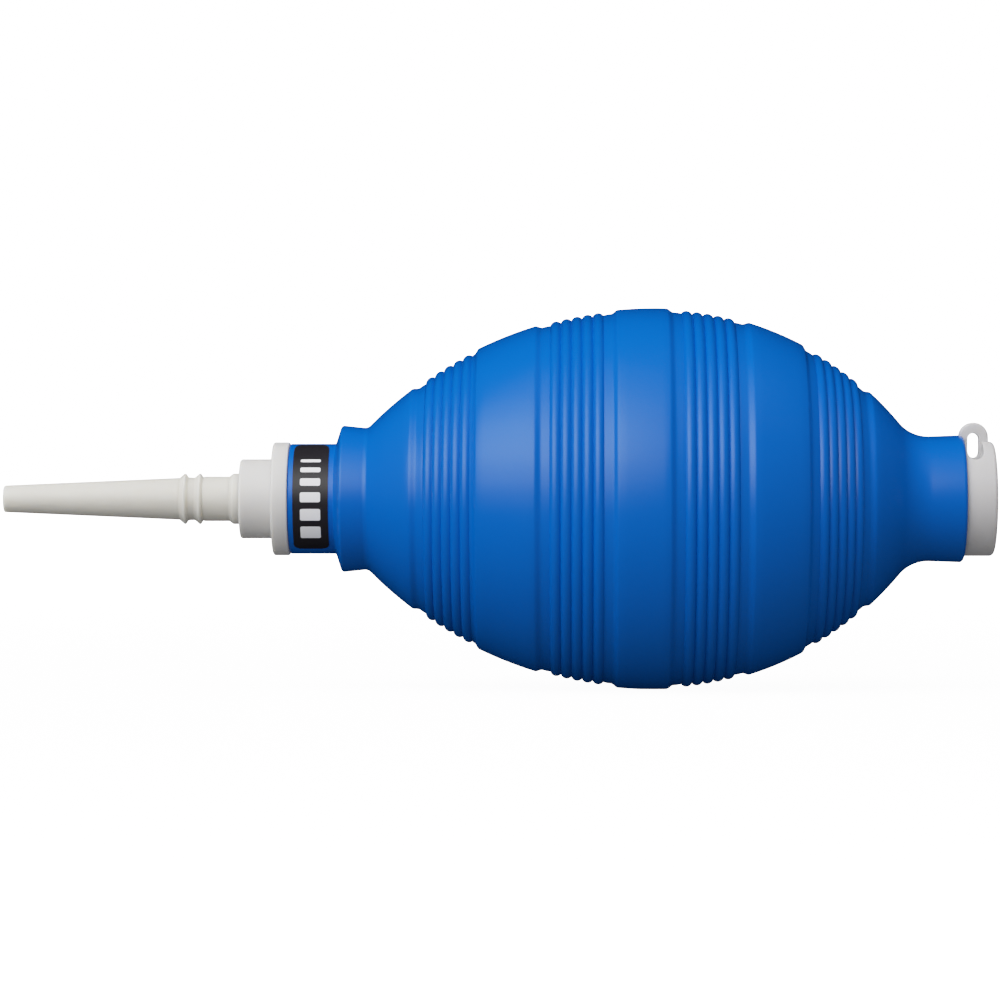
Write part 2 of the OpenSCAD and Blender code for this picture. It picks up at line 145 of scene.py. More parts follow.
def rounded(corners, steps=5):
    """A closed outline whose corners are (x, r, rounding), each turned into an arc."""
    points = []
    for i, (x, r, size) in enumerate(corners):
        here = Vector((x, r))
        back = Vector(corners[i - 1][:2]) - here
        ahead = Vector(corners[(i + 1) % len(corners)][:2]) - here
        half = back.angle(ahead) / 2
        if size <= 0 or half > math.radians(89):
            points.append((x, r))
            continue
        reach = min(size / math.tan(half), 0.49 * back.length, 0.49 * ahead.length)
        radius = reach * math.tan(half)
        centre = here + (back.normalized() + ahead.normalized()).normalized() * radius / math.sin(half)
        start = here + back.normalized() * reach - centre
        end = here + ahead.normalized() * reach - centre
        turn = start.angle_signed(end)
        for k in range(steps + 1):
            a = -turn * k / steps
            spoke = Vector((start.x * math.cos(a) - start.y * math.sin(a),
                            start.x * math.sin(a) + start.y * math.cos(a)))
            points.append(tuple(centre + spoke))
    return points


def front_point(s, depth):
    """A point of the belly, s along the surface in front of the crown, sunk by a depth."""
    a = s / FRONT_ARC_R
    size = FRONT_ARC_R - depth
    return CROWN_X - size * math.sin(a), BULB_R - FRONT_ARC_R + size * math.cos(a)


def rear_point(s, depth):
    """The same behind the crown."""
    a = s / REAR_ARC_R
    size = REAR_ARC_R - depth
    return CROWN_X + size * math.sin(a), BULB_R - REAR_ARC_R + size * math.cos(a)


def rib_course(middle, inner_land=LAND_W, rib_steps=8, step_steps=6):
    """(distance, depth) pairs over one group: soft step, land, half-round ribs, land, soft step.

    inner_land is the width of the land on the crown's side.
    """
    half = RIBS * RIB_PITCH / 2
    rib_radius = ((RIB_PITCH / 2) ** 2 + RIB_H**2) / (2 * RIB_H)
    shares = [i / step_steps for i in range(step_steps + 1)]
    rise = [(STEP_W * (1 - u), LAND_DEPTH * u * u * (3 - 2 * u)) for u in shares]
    course = [(-half - inner_land - away, depth) for away, depth in rise]
    course.append((-half - inner_land / 2, LAND_DEPTH))
    for rib in range(RIBS):
        for i in range(rib_steps):
            across = (i / rib_steps - 0.5) * RIB_PITCH
            crest = math.sqrt(rib_radius**2 - across**2) - rib_radius + RIB_H
            course.append((-half + (rib + i / rib_steps) * RIB_PITCH, VALLEY_DEPTH - crest))
    course += [(half, VALLEY_DEPTH), (half + LAND_W / 2, LAND_DEPTH)]
    course += [(half + LAND_W + away, depth) for away, depth in reversed(rise)]
    return [(middle + s, depth) for s, depth in course]


def half_course(groups, end_s, spacing=1.6 * MM):
    """(distance, depth) pairs from the crown, over the rib courses, to the belly's end."""
    course = []
    at = 0.0
    for stop in [*groups, [(end_s, 0.0)]]:
        n = max(2, round((stop[0][0] - at) / spacing))
        course += [(at + (stop[0][0] - at) * i / n, 0.0) for i in range(0 if at == 0 else 1, n)]
        course += stop
        at = stop[-1][0]
    return course


def bulb_outline(inside_steps=12):
    """The closed outline of the rubber wall: outside from front to rear, then inside back again."""
    round_end_x = SHOULDER_X + SHOULDER_ROUND_REACH
    front_neck = rounded([
        (NECK_X, NECK_R - WALL, 0.2 * MM),
        (NECK_X, NECK_R, 0.4 * MM),
        (COLLAR_X, NECK_R, 0.35 * MM),
        (COLLAR_X + COLLAR_SLOPE_L, COLLAR_R, 0.6 * MM),
        (SHOULDER_X, SHOULDER_R, SHOULDER_ROUND),
        front_point(FRONT_END_S * 0.9, 0) + (0,),
    ])
    front_neck = [p for p in front_neck if p[0] < round_end_x]
    front_groups = (rib_course(FRONT_GROUP_S),
                    rib_course(FRONT_END_S - FOREMOST_GROUP_S, FOREMOST_INNER_LAND_W))
    front = [front_point(s, d) for s, d in reversed(half_course(front_groups, FRONT_END_S))]
    front = [p for p in front if p[0] > round_end_x]
    rear_groups = (rib_course(REAR_GROUP_S), rib_course(REAR_END_S - REARMOST_GROUP_S))
    rear = [rear_point(s, d) for s, d in half_course(rear_groups, REAR_END_S)][1:]
    fillet = arc(FILLET_X, REAR_NECK_R + REAR_FILLET_R, REAR_FILLET_R,
                 math.pi + REAR_ARC_A, math.pi, 12)[1:]
    rim = arc(RIM_X - RIM_ROUND, REAR_RIM_R - RIM_ROUND, RIM_ROUND, 0, math.pi / 2, 8)
    inside = [(RIM_X, REAR_NECK_R - WALL)]
    inside += arc(FILLET_X, REAR_NECK_R + REAR_FILLET_R, REAR_FILLET_R + WALL,
                  math.pi, math.pi + REAR_ARC_A, 6)
    inside += [rear_point(REAR_END_S * (1 - i / inside_steps), WALL) for i in range(1, inside_steps)]
    inside_end_a = math.acos((NECK_R - WALL - BULB_R + FRONT_ARC_R) / (FRONT_ARC_R - WALL))
    inside_end = inside_end_a * FRONT_ARC_R
    inside += [front_point(inside_end * i / inside_steps, WALL) for i in range(inside_steps + 1)]
    return front_neck + front + rear + fillet + rim + inside


# ---------------------------------------------------------------- mesh helpers


def to_object(name, bm, sharp_deg=35):
    """Makes a finished piece of a bmesh, smooth apart from its sharp edges."""
    mesh = bpy.data.meshes.new(name)
    bm.to_mesh(mesh)
    bm.free()
    for polygon in mesh.polygons:
        polygon.use_smooth = True
    mesh.set_sharp_from_angle(angle=math.radians(sharp_deg))
    piece = bpy.data.objects.new(name, mesh)
    bpy.context.scene.collection.objects.link(piece)
    return piece


def turned(outline, steps=128, from_a=0.0, sweep=2 * math.pi):
    """A bmesh of a closed outline turned about the tool's axis, from straight up to the near side."""
    bm = bmesh.new()
    verts = [bm.verts.new((x, 0, AXIS_Z + r)) for x, r in outline]
    face = bm.faces.new(verts)
    axis = Vector((0, 0, AXIS_Z))
    if from_a:
        bmesh.ops.rotate(bm, verts=verts, cent=axis, matrix=Matrix.Rotation(from_a, 3, "X"))
    full = abs(sweep - 2 * math.pi) < 1e-6
    start = [face, *face.edges, *face.verts]
    if full:
        start = [*face.edges, *face.verts]
        bmesh.ops.delete(bm, geom=[face], context="FACES_ONLY")
    bmesh.ops.spin(bm, geom=start, cent=axis, axis=(1, 0, 0), angle=sweep, steps=steps, use_merge=full)
    bmesh.ops.remove_doubles(bm, verts=bm.verts, dist=1e-7)
    if any(f.calc_area() < 1e-14 for f in bm.faces):
        bmesh.ops.dissolve_degenerate(bm, dist=1e-7, edges=bm.edges)
    bmesh.ops.recalc_face_normals(bm, faces=bm.faces)
    return bm


def cut(piece, cutter, operation="DIFFERENCE"):
    """Applies an exact boolean of one piece on another and removes the cutter."""
    modifier = piece.modifiers.new("cut", "BOOLEAN")
    modifier.operation = operation
    modifier.solver = "EXACT"
    modifier.object = cutter
    mesh = bpy.data.meshes.new_from_object(
        piece.evaluated_get(bpy.context.evaluated_depsgraph_get()))
    piece.modifiers.clear()
    piece.data = mesh
    bpy.data.objects.remove(cutter)


def obround(x, low_z, high_z, r, from_y, to_y, steps=16, bevel=0.0):
    """A bmesh of an upright obround plate across the tool."""
    bm = bmesh.new()
    outline = []
    for z, start in ((high_z, 0.0), (low_z, math.pi)):
        for i in range(steps + 1):
            a = start + math.pi * i / steps
            outline.append(bm.verts.new((x + r * math.cos(a), from_y, z + r * math.sin(a))))
    face = bm.faces.new(outline)
    extruded = bmesh.ops.extrude_face_region(bm, geom=[face])["geom"]
    moved = [g for g in extruded if isinstance(g, bmesh.types.BMVert)]
    bmesh.ops.translate(bm, verts=moved, vec=(0, to_y - from_y, 0))
    bmesh.ops.recalc_face_normals(bm, faces=bm.faces)
    if bevel:
        rims = [e for e in bm.edges if len(e.link_faces) == 2 and e.calc_face_angle() > 1.0]
        bmesh.ops.bevel(bm, geom=rims, offset=bevel, offset_type="OFFSET", segments=4, profile=0.5,
                        affect="EDGES", material=-1)
    return bm


# ---------------------------------------------------------------- materials


def add_node(tree, kind, inputs=None, **settings):
    """A new node with its settings and the constants on its sockets."""
    node = tree.nodes.new(kind)
    for key, value in settings.items():
        setattr(node, key, value)
    for key, value in (inputs or {}).items():
        node.inputs[key].default_value = value
    return node


def moulded_surface_group():
    """Fine grain, slow waves and cloudy shade of a moulded surface, in the piece's coordinates."""
    group = bpy.data.node_groups.new("moulded_surface", "ShaderNodeTree")
    sockets = group.interface
    for name, default in (("Grain Scale", 900.0), ("Grain Height", 0.02), ("Wave Scale", 60.0),
                          ("Wave Height", 0.1), ("Roughness", 0.4), ("Roughness Spread", 0.08)):
        socket = sockets.new_socket(name=name, in_out="INPUT", socket_type="NodeSocketFloat")
        socket.default_value = default
    sockets.new_socket(name="Shade", in_out="OUTPUT", socket_type="NodeSocketFloat")
    sockets.new_socket(name="Roughness", in_out="OUTPUT", socket_type="NodeSocketFloat")
    sockets.new_socket(name="Normal", in_out="OUTPUT", socket_type="NodeSocketVector")
    source = add_node(group, "NodeGroupInput")
    sink = add_node(group, "NodeGroupOutput")
    place = add_node(group, "ShaderNodeTexCoord")
    grain = add_node(group, "ShaderNodeTexNoise", {"Detail": 3.0, "Roughness": 0.6})
    wave = add_node(group, "ShaderNodeTexNoise", {"Detail": 2.0, "Roughness": 0.5})
    cloud = add_node(group, "ShaderNodeTexNoise", {"Scale": 35.0, "Detail": 4.0, "Roughness": 0.55})
    join = group.links.new
    for texture in (grain, wave, cloud):
        join(place.outputs["Object"], texture.inputs["Vector"])
    join(source.outputs["Grain Scale"], grain.inputs["Scale"])
    join(source.outputs["Wave Scale"], wave.inputs["Scale"])
    wave_bump = add_node(group, "ShaderNodeBump", {"Distance": 0.001})
    join(source.outputs["Wave Height"], wave_bump.inputs["Strength"])
    join(wave.outputs["Fac"], wave_bump.inputs["Height"])
    grain_bump = add_node(group, "ShaderNodeBump", {"Distance": 0.001})
    join(source.outputs["Grain Height"], grain_bump.inputs["Strength"])
    join(grain.outputs["Fac"], grain_bump.inputs["Height"])
    join(wave_bump.outputs["Normal"], grain_bump.inputs["Normal"])
    spread = add_node(group, "ShaderNodeMath", operation="MULTIPLY_ADD")
    lower = add_node(group, "ShaderNodeMath", operation="MULTIPLY_ADD")
    lower.inputs[1].default_value = -0.5
    join(source.outputs["Roughness Spread"], lower.inputs[0])
    join(source.outputs["Roughness"], lower.inputs[2])
    join(cloud.outputs["Fac"], spread.inputs[0])
    join(source.outputs["Roughness Spread"], spread.inputs[1])
    join(lower.outputs[0], spread.inputs[2])
    join(cloud.outputs["Fac"], sink.inputs["Shade"])
    join(spread.outputs[0], sink.inputs["Roughness"])
    join(grain_bump.outputs["Normal"], sink.inputs["Normal"])
    return group


MOULDED = moulded_surface_group()


def moulded_material(name, dark, light, surface, specular=0.5, glow_depth=0.0):
    """A moulded plastic or rubber: two close shades clouded together, with the moulded surface's bump.

    Light that enters a milky plastic spreads over glow_depth before it leaves again.
    """
    material = bpy.data.materials.new(name)
    material.use_nodes = True
    tree = material.node_tree
    shader = tree.nodes["Principled BSDF"]
    shader.inputs["Specular IOR Level"].default_value = specular
    if glow_depth:
        shader.inputs["Subsurface Weight"].default_value = 1.0
        shader.inputs["Subsurface Radius"].default_value = (1.0, 0.95, 0.85)
        shader.inputs["Subsurface Scale"].default_value = glow_depth
    texture = add_node(tree, "ShaderNodeGroup", node_tree=MOULDED)
    for key, value in surface.items():
        texture.inputs[key].default_value = value
    shades = add_node(tree, "ShaderNodeMix", data_type="RGBA")
    shades.inputs["A"].default_value = (*dark, 1)
    shades.inputs["B"].default_value = (*light, 1)
    tree.links.new(texture.outputs["Shade"], shades.inputs["Factor"])
    tree.links.new(shades.outputs["Result"], shader.inputs["Base Color"])
    tree.links.new(texture.outputs["Roughness"], shader.inputs["Roughness"])
    tree.links.new(texture.outputs["Normal"], shader.inputs["Normal"])
    return material


RUBBER = moulded_material(
    "blue_rubber", (0.0, 0.109, 0.51), (0.0, 0.121, 0.55),
    {"Grain Scale": 1100.0, "Grain Height": 0.012, "Wave Scale": 70.0, "Wave Height": 0.07,
     "Roughness": 0.22, "Roughness Spread": 0.08}, specular=0.44)
NOZZLE_PLASTIC = moulded_material(
    "nozzle_grey", (0.68, 0.66, 0.61), (0.72, 0.70, 0.65),
    {"Grain Scale": 1500.0, "Grain Height": 0.01, "Wave Scale": 90.0, "Wave Height": 0.03,
     "Roughness": 0.42, "Roughness Spread": 0.08}, glow_depth=2.5 * MM)
HOLDER_PLASTIC = moulded_material(
    "holder_grey", (0.66, 0.65, 0.64), (0.70, 0.69, 0.68),
    {"Grain Scale": 1500.0, "Grain Height": 0.01, "Wave Scale": 90.0, "Wave Height": 0.03,
     "Roughness": 0.4, "Roughness Spread": 0.08}, glow_depth=1.2 * MM)
PLUG_PLASTIC = moulded_material(
    "plug_grey", (0.59, 0.58, 0.585), (0.63, 0.62, 0.625),
    {"Grain Scale": 1500.0, "Grain Height": 0.01, "Wave Scale": 90.0, "Wave Height": 0.04,
     "Roughness": 0.45, "Roughness Spread": 0.08}, glow_depth=1.2 * MM)
VALVE_RUBBER = moulded_material(
    "valve_rubber", (0.02, 0.02, 0.02), (0.035, 0.035, 0.035),
    {"Grain Scale": 1500.0, "Grain Height": 0.02, "Roughness": 0.6})
VALVE_PLASTIC = moulded_material(
    "valve_white", (0.66, 0.66, 0.64), (0.72, 0.72, 0.70),
    {"Grain Scale": 1500.0, "Grain Height": 0.01, "Roughness": 0.4})
LABEL_FILM = moulded_material(
    "label_black", (0.012, 0.011, 0.014), (0.02, 0.018, 0.022),
    {"Grain Scale": 2600.0, "Grain Height": 0.02, "Wave Scale": 300.0, "Wave Height": 0.03,
     "Roughness": 0.3, "Roughness Spread": 0.1})
LABEL_PRINT = moulded_material(
    "label_silver", (0.80, 0.80, 0.83), (0.90, 0.90, 0.93),
    {"Grain Scale": 2600.0, "Grain Height": 0.02, "Roughness": 0.35})


def finish_piece(piece, material, slot, body, *nodes):
    """Gives a piece its material, hides the CAD nodes it stands in for, and hangs it on the body it
    moves with, if any. The slot argument is not used.
    """
    piece.data.materials.clear()
    piece.data.materials.append(material)
    if nodes:
        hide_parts(*nodes)
    if body:
        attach(piece, body)


# ---------------------------------------------------------------- the rubber bulb


def is_outside(point):
    """Whether a point of the bulb lies on its outside, and not on the inside of its wall."""
    r = abs(point.z - AXIS_Z)
    if point.x < CROWN_X:
        base = front_point(math.asin(min(1, (CROWN_X - point.x) / FRONT_ARC_R)) * FRONT_ARC_R, 0)[1]
    else:
        base = rear_point(math.asin(min(1, (point.x - CROWN_X) / REAR_ARC_R)) * REAR_ARC_R, 0)[1]
    return r > base - BELLY_BAND or r > NECK_R - NECK_BAND


def bulb_skin(name, side, wall_node):
    """One half of the rubber bulb, with half of the mould's seam. side is -1 near and 1 far."""
    from_a = 0.0 if side < 0 else math.pi
    bm = turned(bulb_outline(), steps=96, from_a=from_a, sweep=math.pi)
    bmesh.ops.bisect_plane(bm, geom=[*bm.verts, *bm.edges, *bm.faces], dist=1e-8,
                           plane_co=(0, side * SEAM_W, 0), plane_no=(0, 1, 0))
    for vert in bm.verts:
        out = Vector((0, vert.co.y, vert.co.z - AXIS_Z))
        if abs(vert.co.y) < 1e-6 and vert.normal.dot(out) > 0 and is_outside(vert.co):
            vert.co += out.normalized() * SEAM_H
    caps = [f for f in bm.faces if len(f.verts) > 4]
    bmesh.ops.triangulate(bm, faces=caps)
    piece = to_object(name, bm)
    finish_piece(piece, RUBBER, "bulb_rubber", None, "bulb", wall_node)
    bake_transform(piece)


bulb_skin("bulb_near_half", -1, "near_side_wall")
bulb_skin("bulb_far_half", 1, "far_side_wall")

# ---------------------------------------------------------------- nozzle and holder

TIP_R = 2.45 * MM
OUTLET_R = 1.1 * MM
OUTLET_L = 8 * MM
TAPER_R = 3.85 * MM
STUB_R = 4.1 * MM
STUB_X = BOSS_X - 11.3 * MM
RIB_R = 4.65 * MM
RIB_1_X = STUB_X + 1.0 * MM
RIB_2_X = RIB_1_X + 2.75 * MM
COLLAR_AT_X = BOSS_X - 2 * MM
NOZZLE_COLLAR_R = 4.65 * MM
PUSH_R = 3.75 * MM
PUSH_END_X = nozzle_high.x
AIRWAY_R = 2.5 * MM
# One small rib, as (place from its middle, radius, rounding): a long slope in front, a steep one behind
SMALL_RIB = (
    (-0.9 * MM, STUB_R - 0.2 * MM, 0.5 * MM),
    (-0.05 * MM, RIB_R, 0.3 * MM),
    (0.2 * MM, RIB_R, 0.25 * MM),
    (0.65 * MM, STUB_R - 0.15 * MM, 0.3 * MM),
)


def nozzle_outline():
    """The closed outline of the nozzle: outside from the tip to the push-in end, then the airway."""
    corners = [
        (TIP_X, OUTLET_R, 0.12 * MM),
        (TIP_X, TIP_R, 0.35 * MM),
        (STUB_X, TAPER_R, 0.2 * MM),
    ]
    for x in (RIB_1_X, RIB_2_X):
        corners += [(x + along, r, rounding) for along, r, rounding in SMALL_RIB]
    corners += [
        (RIB_2_X + 0.9 * MM, STUB_R, 0.2 * MM),
        (COLLAR_AT_X - 0.1 * MM, STUB_R, 0.1 * MM),
        (COLLAR_AT_X + 0.65 * MM, NOZZLE_COLLAR_R, 0.3 * MM),
        (BOSS_X, NOZZLE_COLLAR_R, 0.12 * MM),
        (BOSS_X, PUSH_R, 0),
        (PUSH_END_X, PUSH_R, 0.35 * MM),
        (PUSH_END_X, AIRWAY_R, 0.1 * MM),
        (BOSS_X, AIRWAY_R, 0.5 * MM),
        (TIP_X + OUTLET_L, OUTLET_R, 0.5 * MM),
    ]
    return rounded(corners)


nozzle = to_object("nozzle_body", turned(nozzle_outline()))
finish_piece(nozzle, NOZZLE_PLASTIC, "nozzle_plastic", "nozzle", "nozzle")

BOSS_R = 7.28 * MM
FLANGE_X = BOSS_X + 6.05 * MM
SOCKET_R = 3.8 * MM
SOCKET_END_X = PUSH_END_X + 0.05 * MM
NECK_FIT = 0.03 * MM
SPIGOT_WALL = 2.2 * MM
SPIGOT_R = NECK_R - WALL - NECK_FIT
VALVE_BORE_R = SPIGOT_R - SPIGOT_WALL
VALVE_STOP_X = SOCKET_END_X + 1.2 * MM
HOLDER_END_X = holder_high.x


def holder_outline():
    """The closed outline of the holder: boss, flange and spigot, then the valve bore and socket."""
    return rounded([
        (BOSS_X, SOCKET_R, 0.15 * MM),
        (BOSS_X, BOSS_R, 0.4 * MM),
        (FLANGE_X, BOSS_R, 0.15 * MM),
        (FLANGE_X, FLANGE_R, 0.45 * MM),
        (NECK_X, FLANGE_R, 0.3 * MM),
        (NECK_X, SPIGOT_R, 0),
        (HOLDER_END_X, SPIGOT_R, 0.3 * MM),
        (HOLDER_END_X, VALVE_BORE_R, 0.1 * MM),
        (VALVE_STOP_X, VALVE_BORE_R, 0),
        (VALVE_STOP_X, AIRWAY_R, 0),
        (SOCKET_END_X, AIRWAY_R, 0),
        (SOCKET_END_X, SOCKET_R, 0),
    ])


holder = to_object("nozzle_holder_body", turned(holder_outline()))
finish_piece(holder, HOLDER_PLASTIC, "holder_plastic", "blower", "nozzle_holder")

# ---------------------------------------------------------------- rear plug with its lanyard tab

PLUG_R = 10.5 * MM
PLUG_SPIGOT_R = REAR_NECK_R - WALL - NECK_FIT
PLUG_BORE_R = PLUG_SPIGOT_R - SPIGOT_WALL
PLUG_END_ROUND = 0.8 * MM
END_WALL = 1.8 * MM
TAB_R = 2.7 * MM
TAB_T = 2 * MM
TAB_TOP = plug_high.z
TAB_LOW_Z = AXIS_Z + 7.4 * MM
TAB_EDGE = 0.35 * MM
TAB_X = RIM_X - 0.8 * MM + TAB_R
SLOT_R = 1.05 * MM
SLOT_X = TAB_X - 0.05 * MM
SLOT_HIGH_Z = TAB_TOP - 1.95 * MM - SLOT_R
SLOT_LOW_Z = SLOT_HIGH_Z - 4.5 * MM + 2 * SLOT_R
POCKET_R = SLOT_R + 0.45 * MM
CHAMBER_R = 5.0 * MM
CHAMBER_STEP_L = 1 * MM
INLETS = 6
INLET_R = 0.9 * MM
INLET_CIRCLE_R = 4.5 * MM


def rear_plug_piece():
    """The turned plug with the tab joined to it, and the pockets, slot and air inlets cut out."""
    body = to_object("rear_plug_body", turned(rounded([
        (plug_low.x, PLUG_BORE_R, 0),
        (plug_low.x, PLUG_SPIGOT_R, 0.3 * MM),
        (RIM_X, PLUG_SPIGOT_R, 0),
        (RIM_X, PLUG_R, 0.2 * MM),
        (END_X, PLUG_R, PLUG_END_ROUND),
        (END_X, 0, 0),
        (END_X - END_WALL, 0, 0),
        (END_X - END_WALL, CHAMBER_R, 0),
        (RIM_X, CHAMBER_R, 0),
        (RIM_X - CHAMBER_STEP_L, PLUG_BORE_R, 0),
    ], steps=6)))
    for side in (-1, 1):
        near, far = sorted((side * TAB_T / 2, side * PLUG_R))
        cut(body, to_object("pocket", obround(SLOT_X, SLOT_LOW_Z, TAB_TOP, POCKET_R, near, far)))
    tab = to_object("tab", obround(TAB_X, TAB_LOW_Z, TAB_TOP - TAB_R, TAB_R, -TAB_T / 2, TAB_T / 2,
                                   bevel=TAB_EDGE))
    cut(body, tab, "UNION")
    cut(body, to_object("slot", obround(SLOT_X, SLOT_LOW_Z, SLOT_HIGH_Z, SLOT_R, -PLUG_R, PLUG_R)))
    for i in range(INLETS):
        a = 2 * math.pi * (i + 0.5) / INLETS
        bm = bmesh.new()
        bmesh.ops.create_cone(bm, cap_ends=True, segments=32, radius1=INLET_R, radius2=INLET_R,
                              depth=3 * END_WALL)
        bmesh.ops.rotate(bm, verts=bm.verts, matrix=Matrix.Rotation(math.pi / 2, 3, "Y"))
        bmesh.ops.translate(bm, verts=bm.verts, vec=(
            END_X, INLET_CIRCLE_R * math.cos(a), AXIS_Z + INLET_CIRCLE_R * math.sin(a)))
        cut(body, to_object("inlet", bm))
    body.data.set_sharp_from_angle(angle=math.radians(30))
    return body


rear_plug = rear_plug_piece()
finish_piece(rear_plug, PLUG_PLASTIC, "plug_plastic", "blower", "rear_plug")

# ---------------------------------------------------------------- label

LABEL_X = (label_low.x + label_high.x) / 2
LABEL_L = label_high.x - label_low.x
LABEL_T = 0.12 * MM
LABEL_UP = math.radians(77)
LABEL_DOWN = math.radians(64)
LABEL_HALF = (LABEL_UP + LABEL_DOWN) / 2 * NECK_R
LABEL_ROUND = 1.5 * MM
# The oval corners at the top: across the label and along it
LABEL_TOP_ROUND = (1.3 * MM, 3.2 * MM)
PRINT_T = 0.02 * MM
# The printed bars: how thick each is in millimetres, from the bottom up
BARS = (2.6, 2.2, 1.8, 1.4, 1.0, 0.7)
BAR_HALF_L = 1.85 * MM
BAR_ROUND = 0.3 * MM
BAR_GAP = 1.2 * MM
FIRST_BAR = 3.4 * MM


def wrapped(name, outlines, floor_r, thickness):
    """Wraps flat outlines round the neck as a solid.

    Their points are (along the axis, up round the neck) from the label's middle.
    """
    bm = bmesh.new()
    for outline in outlines:
        face = bm.faces.new([bm.verts.new((x, 0, s)) for x, s in outline])
        if face.normal.y > 0:
            face.normal_flip()
    step = 0.35 * MM
    lowest = min(v.co.z for v in bm.verts)
    highest = max(v.co.z for v in bm.verts)
    at = lowest + step
    while at < highest:
        bmesh.ops.bisect_plane(bm, geom=[*bm.verts, *bm.edges, *bm.faces], dist=1e-8,
                               plane_co=(0, 0, at), plane_no=(0, 0, 1))
        at += step
    bmesh.ops.recalc_face_normals(bm, faces=bm.faces)
    for face in bm.faces:
        if face.normal.y > 0:
            face.normal_flip()
    top = bmesh.ops.extrude_face_region(bm, geom=list(bm.faces))["geom"]
    raised = {g for g in top if isinstance(g, bmesh.types.BMVert)}
    middle_a = (LABEL_UP - LABEL_DOWN) / 2
    for vert in bm.verts:
        r = floor_r + (thickness if vert in raised else 0)
        a = middle_a + vert.co.z / NECK_R
        vert.co = Vector((LABEL_X + vert.co.x, -r * math.cos(a), AXIS_Z + r * math.sin(a)))
    bmesh.ops.recalc_face_normals(bm, faces=bm.faces)
    return to_object(name, bm, sharp_deg=50)


def label_outline():
    """The sticker's outline: round corners below and long oval ones at the top."""
    x, s = LABEL_L / 2, LABEL_HALF
    across, along = LABEL_TOP_ROUND
    turns = [math.radians(a) for a in range(0, 91, 10)]
    right = [(x - across * (1 - math.cos(a)), s - along * (1 - math.sin(a))) for a in turns]
    left = [(-x_top, s_top) for x_top, s_top in reversed(right)]
    corners = [(-x, -s, LABEL_ROUND), (x, -s, LABEL_ROUND)] + [(*point, 0) for point in right + left]
    return rounded(corners, steps=8)


def motif_outlines():
    """A plain row of bars with rounded ends, thinning out like a puff of air."""
    outlines = []
    at = -LABEL_HALF + FIRST_BAR
    for thick in BARS:
        half, top = BAR_HALF_L, at + thick * MM
        outlines.append(rounded([(-half, at, BAR_ROUND), (half, at, BAR_ROUND),
                                 (half, top, BAR_ROUND), (-half, top, BAR_ROUND)], steps=3))
        at = top + BAR_GAP
    return outlines


label = wrapped("label_film", [label_outline()], NECK_R, LABEL_T)
finish_piece(label, LABEL_FILM, "label_film", "blower", "label")
motif = wrapped("label_motif", motif_outlines(), NECK_R + LABEL_T, PRINT_T)
finish_piece(motif, LABEL_PRINT, "label_film", "blower")

# ---------------------------------------------------------------- the valves keep their CAD shapes

for node, material in (
    ("outlet_valve_disc", VALVE_RUBBER),
    ("intake_valve_disc", VALVE_RUBBER),
    ("outlet_valve_seat", VALVE_PLASTIC),
    ("intake_valve_cage", VALVE_PLASTIC),
):
    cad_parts[node].data.materials.clear()
    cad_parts[node].data.materials.append(material)

# ---------------------------------------------------------------- floor, light and camera

# The brightness that shows as pure white, and (light, shown) pairs of a soft tone curve
PAPER_WHITE = 4.0
TONES = ((0.0, 0.0), (0.18, 0.18), (0.37, 0.355), (0.66, 0.55), (0.87, 0.645), (1.16, 0.74), (2.0, 0.9),
         (PAPER_WHITE, 1.0))


def set_tones():
    """Shows bright pieces softly, without greying the pure white around them."""
    view = bpy.context.scene.view_settings
    view.view_transform = "Standard"
    view.use_curve_mapping = True
    mapping = view.curve_mapping
    mapping.white_level = (PAPER_WHITE, PAPER_WHITE, PAPER_WHITE)
    points = mapping.curves[3].points
    while len(points) < len(TONES):
        points.new(0.5, 0.5)
    for point, (light, tone) in zip(points, TONES):
        point.location = (light / PAPER_WHITE, tone)
    mapping.update()


def white_stage_material():
    """A pale floor: nearly white to the camera, whiter still far away, and a weak fill from below."""
    material = bpy.data.materials.new("stage_white")
    material.use_nodes = True
    tree = material.node_tree
    shader = tree.nodes["Principled BSDF"]
    shader.inputs["Roughness"].default_value = 0.9
    shader.inputs["Specular IOR Level"].default_value = 0.0
    shader.inputs["Emission Color"].default_value = (1, 1, 1, 1)
    path = add_node(tree, "ShaderNodeLightPath")
    shade = add_node(tree, "ShaderNodeMix", data_type="RGBA")
    shade.inputs["A"].default_value = (0.1, 0.1, 0.1, 1)
    shade.inputs["B"].default_value = (0.6, 0.6, 0.6, 1)
    tree.links.new(path.outputs["Is Camera Ray"], shade.inputs["Factor"])
    tree.links.new(shade.outputs["Result"], shader.inputs["Base Color"])
    place = add_node(tree, "ShaderNodeTexCoord")
    reach = add_node(tree, "ShaderNodeVectorMath", operation="LENGTH")
    tree.links.new(place.outputs["Object"], reach.inputs[0])
    fade = add_node(tree, "ShaderNodeMapRange", {
        "From Min": 0.15, "From Max": 0.8, "To Min": 0.7 * PAPER_WHITE, "To Max": PAPER_WHITE})
    tree.links.new(reach.outputs["Value"], fade.inputs["Value"])
    glow = add_node(tree, "ShaderNodeMix", data_type="FLOAT")
    glow.inputs["A"].default_value = 0.16
    tree.links.new(path.outputs["Is Camera Ray"], glow.inputs["Factor"])
    tree.links.new(fade.outputs["Result"], glow.inputs["B"])
    tree.links.new(glow.outputs["Result"], shader.inputs["Emission Strength"])
    return material


def make_floor():
    """A wide floor just below the tool, left out of its gloss."""
    bm = bmesh.new()
    bmesh.ops.create_grid(bm, x_segments=8, y_segments=8, size=6.0)
    bmesh.ops.translate(bm, verts=bm.verts, vec=(0, 0, cad_bounds[0][2] - 0.02 * MM))
    floor = to_object("floor", bm)
    floor.data.materials.append(white_stage_material())
    floor.visible_glossy = False


